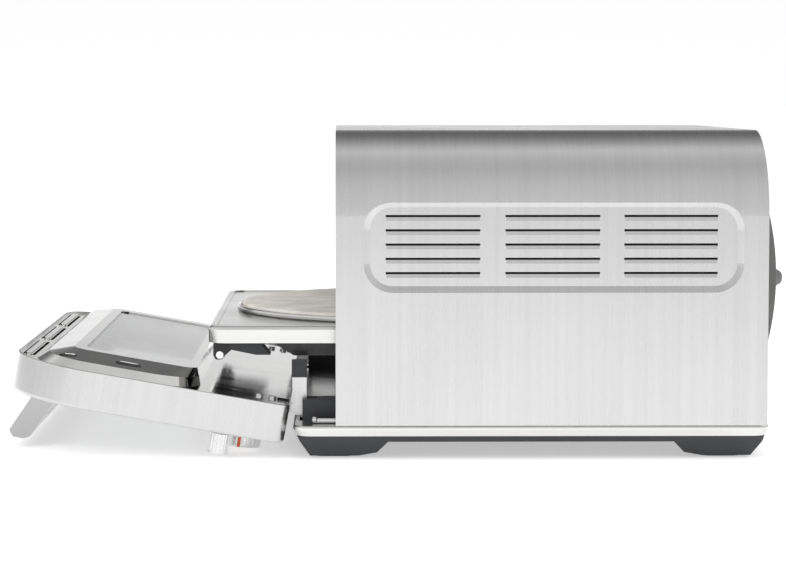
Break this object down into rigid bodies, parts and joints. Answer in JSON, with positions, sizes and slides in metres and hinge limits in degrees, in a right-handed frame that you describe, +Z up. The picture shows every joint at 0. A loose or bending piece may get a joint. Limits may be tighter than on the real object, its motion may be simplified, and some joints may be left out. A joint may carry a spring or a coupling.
{
  "type": "countertop pizza oven",
  "caption": "Countertop electric pizza oven in brushed steel with a drop-down glazed door and a stone deck that slides out as the door opens.",
  "frame": {"origin": "on the standing plane, under the middle of the open oven measured from handle tip to rear spacers", "axes": "+Z up, the door opens towards -Y, +X across the oven"},
  "size_m": [0.467, 0.6636, 0.272],
  "materials": {
    "shell_steel": "vertically brushed stainless steel",
    "door_steel": "brushed stainless steel",
    "trim_steel": "bright brushed steel",
    "liner_steel": "polished stainless steel",
    "handle_steel": "polished",
    "cavity_steel": "plain sheet steel",
    "deck_steel": "satin stainless steel",
    "arm_steel": "plated steel",
    "bright_steel": "polished fasteners and rollers",
    "dial_steel": "spun satin",
    "pointer_orange": "orange-red inlay",
    "base_plastic": "fine moulded texture",
    "hinge_plastic": "moulded",
    "rear_plastic": "moulded, grey",
    "grip_plastic": "gloss black",
    "pad_rubber": "moulded",
    "gasket_rubber": "moulded",
    "element": "oxidised sheath",
    "tray_enamel": "black enamel",
    "stone": "fired stone",
    "glass": "clear tempered",
    "blanket": "mineral fibre",
    "board": "circuit board"
  },
  "bodies": {
    "oven_body": {"base_housing": "base_plastic", "foot_pads": "pad_rubber", "base_trim": "trim_steel", "outer_shell": "shell_steel", "front_frame": "cavity_steel", "cavity_box": "cavity_steel", "insulation_blanket": "blanket", "top_heater_outer": "element", "top_heater_inner": "element", "heat_reflector": "cavity_steel", "temperature_probe": "bright_steel", "rail_right": "cavity_steel", "rail_left": "cavity_steel", "hinge_housing_right": "hinge_plastic", "hinge_housing_left": "hinge_plastic", "hinge_pins": "bright_steel", "spring_rods": "bright_steel", "rear_panel": "cavity_steel", "rear_cover": "rear_plastic", "wall_spacers": "rear_plastic", "fan_frame": "hinge_plastic", "cord_gland": "hinge_plastic", "power_board": "board", "rear_screws": "bright_steel"},
    "fan": {"fan_rotor": "hinge_plastic"},
    "door": {"door_skin": "door_steel", "door_liner": "liner_steel", "window_glass_inner": "glass", "window_glass_outer": "glass", "window_gasket": "gasket_rubber", "window_frame": "cavity_steel", "handle_arms": "handle_steel", "handle_bar": "handle_steel", "handle_grip": "grip_plastic", "control_board": "board", "dial_encoders": "arm_steel", "dial_bezels": "handle_steel", "hinge_arm_right": "arm_steel", "hinge_arm_left": "arm_steel", "lever_caps": "hinge_plastic", "hinge_screws": "bright_steel", "liner_plugs": "gasket_rubber"},
    "dial_right_body": {"dial_right": "dial_steel", "pointer_right": "pointer_orange"},
    "dial_centre_body": {"dial_centre": "dial_steel", "pointer_centre": "pointer_orange"},
    "dial_left_body": {"dial_left": "dial_steel", "pointer_left": "pointer_orange"},
    "dial_small_body": {"dial_small": "dial_steel"},
    "button_start_body": {"button_start": "dial_steel"},
    "button_power_body": {"button_power": "dial_steel"},
    "deck": {"deck_tray": "deck_steel", "baking_stone": "stone", "deck_heater_housing": "tray_enamel", "deck_heater": "element", "deck_runners": "arm_steel", "deck_brackets": "hinge_plastic", "roller_pins": "bright_steel"},
    "roller_right_body": {"roller_right": "bright_steel"},
    "roller_left_body": {"roller_left": "bright_steel"}
  },
  "joints": [
    {"name": "door_hinge", "type": "hinge", "parent": "oven_body", "child": "door", "pos_m": [0, -0.0758, 0.0184], "axis": [-1, 0, 0], "range_deg": [0, 80]},
    {"name": "deck_slide", "type": "slide", "parent": "oven_body", "child": "deck", "axis": [0, 1, 0], "range_m": [0, 0.118]},
    {"name": "dial_right_turn", "type": "hinge", "parent": "door", "child": "dial_right_body", "pos_m": [0.172, -0.13164, 0.01901], "axis": [0, -0.1736, -0.9848], "range_deg": [-135, 135]},
    {"name": "dial_centre_turn", "type": "hinge", "parent": "door", "child": "dial_centre_body", "pos_m": [0, -0.13164, 0.01901], "axis": [0, -0.1736, -0.9848], "range_deg": [-135, 135]},
    {"name": "dial_left_turn", "type": "hinge", "parent": "door", "child": "dial_left_body", "pos_m": [-0.172, -0.13164, 0.01901], "axis": [0, -0.1736, -0.9848], "range_deg": [-135, 135]},
    {"name": "dial_small_turn", "type": "hinge", "parent": "door", "child": "dial_small_body", "pos_m": [0.214, -0.1474, 0.02178], "axis": [0, -0.1736, -0.9848], "range_deg": [-135, 135]},
    {"name": "button_start_press", "type": "slide", "parent": "door", "child": "button_start_body", "axis": [0, 0.1736, 0.9848], "range_m": [0, 0.0012], "stiffness_N_per_m": 500},
    {"name": "button_power_press", "type": "slide", "parent": "door", "child": "button_power_body", "axis": [0, 0.1736, 0.9848], "range_m": [0, 0.0012], "stiffness_N_per_m": 500},
    {"name": "roller_right_spin", "type": "hinge", "parent": "deck", "child": "roller_right_body", "pos_m": [0.16, -0.1506, 0.0802], "axis": [1, 0, 0], "continuous": true},
    {"name": "roller_left_spin", "type": "hinge", "parent": "deck", "child": "roller_left_body", "pos_m": [-0.16, -0.1506, 0.0802], "axis": [1, 0, 0], "continuous": true},
    {"name": "fan_spin", "type": "hinge", "parent": "oven_body", "child": "fan", "pos_m": [0, 0.3049, 0.15], "axis": [0, 1, 0], "continuous": true}
  ],
  "couplings": [
    {"joint": "deck_slide", "follows": "door_hinge", "m_per_rad": 0.0845}
  ]
}
